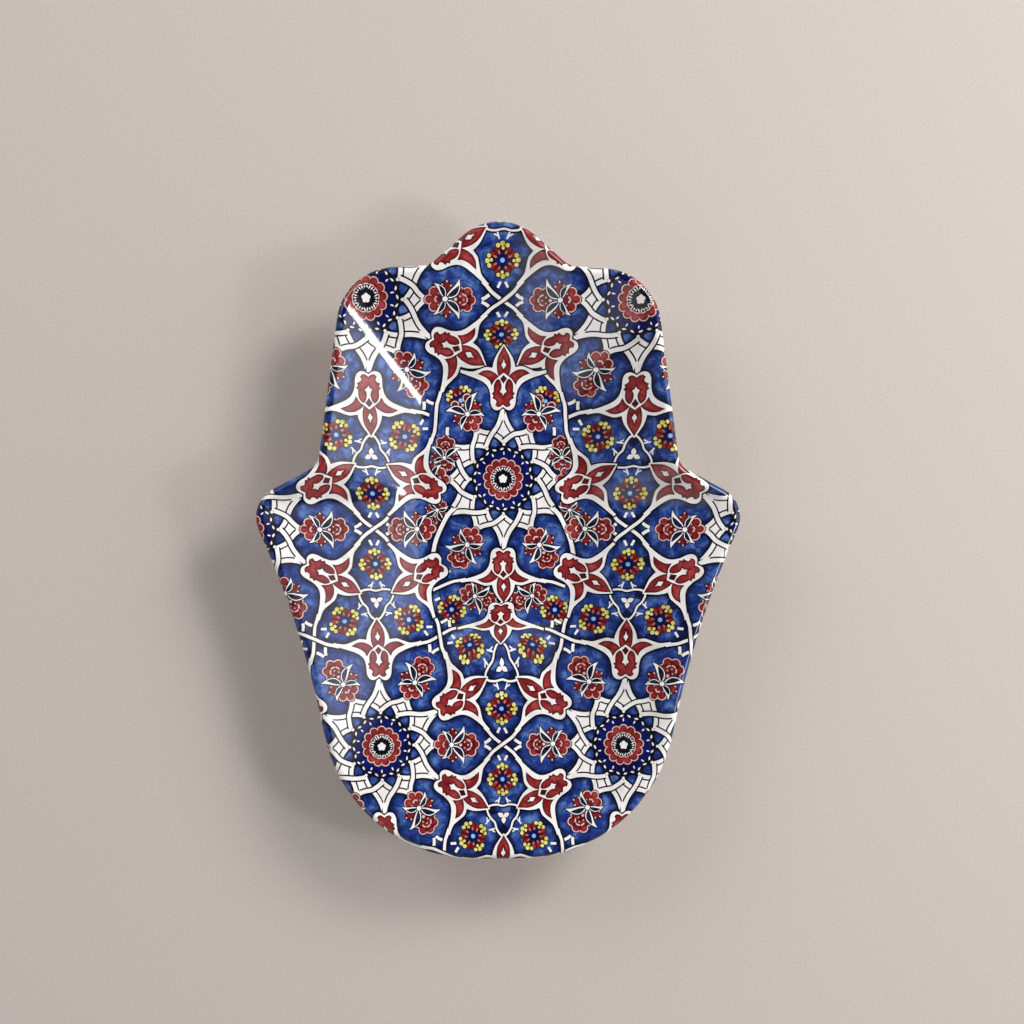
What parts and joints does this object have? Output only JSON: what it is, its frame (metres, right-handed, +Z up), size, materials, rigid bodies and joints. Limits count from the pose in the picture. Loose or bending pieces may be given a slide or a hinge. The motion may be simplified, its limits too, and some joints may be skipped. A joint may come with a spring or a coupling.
{
  "type": "hamsa serving plate",
  "caption": "Hand-shaped glazed ceramic serving dish with sloping wall, rolled lip, small flat well, foot ring and an all-over printed tile ornament.",
  "frame": {"origin": "on the table, below the middle of the plate's outline", "axes": "+Y towards the fingertip, +X towards the right thumb, +Z up out of the dish"},
  "size_m": [0.213, 0.2799, 0.034],
  "materials": {
    "biscuit_clay": "unglazed, fine matt grain",
    "wall_print": "gloss glaze over a printed ornament in cobalt, white, red, navy and yellow",
    "well_print": "gloss glaze over a printed ornament in cobalt, white, red, navy and yellow",
    "plain_glaze": "gloss white glaze"
  },
  "bodies": {
    "root": {"plate_body": "biscuit_clay", "foot_ring": "biscuit_clay", "wall_print": "wall_print", "well_print": "well_print", "underside_glaze": "plain_glaze", "foot_well_glaze": "plain_glaze"}
  },
  "joints": []
}
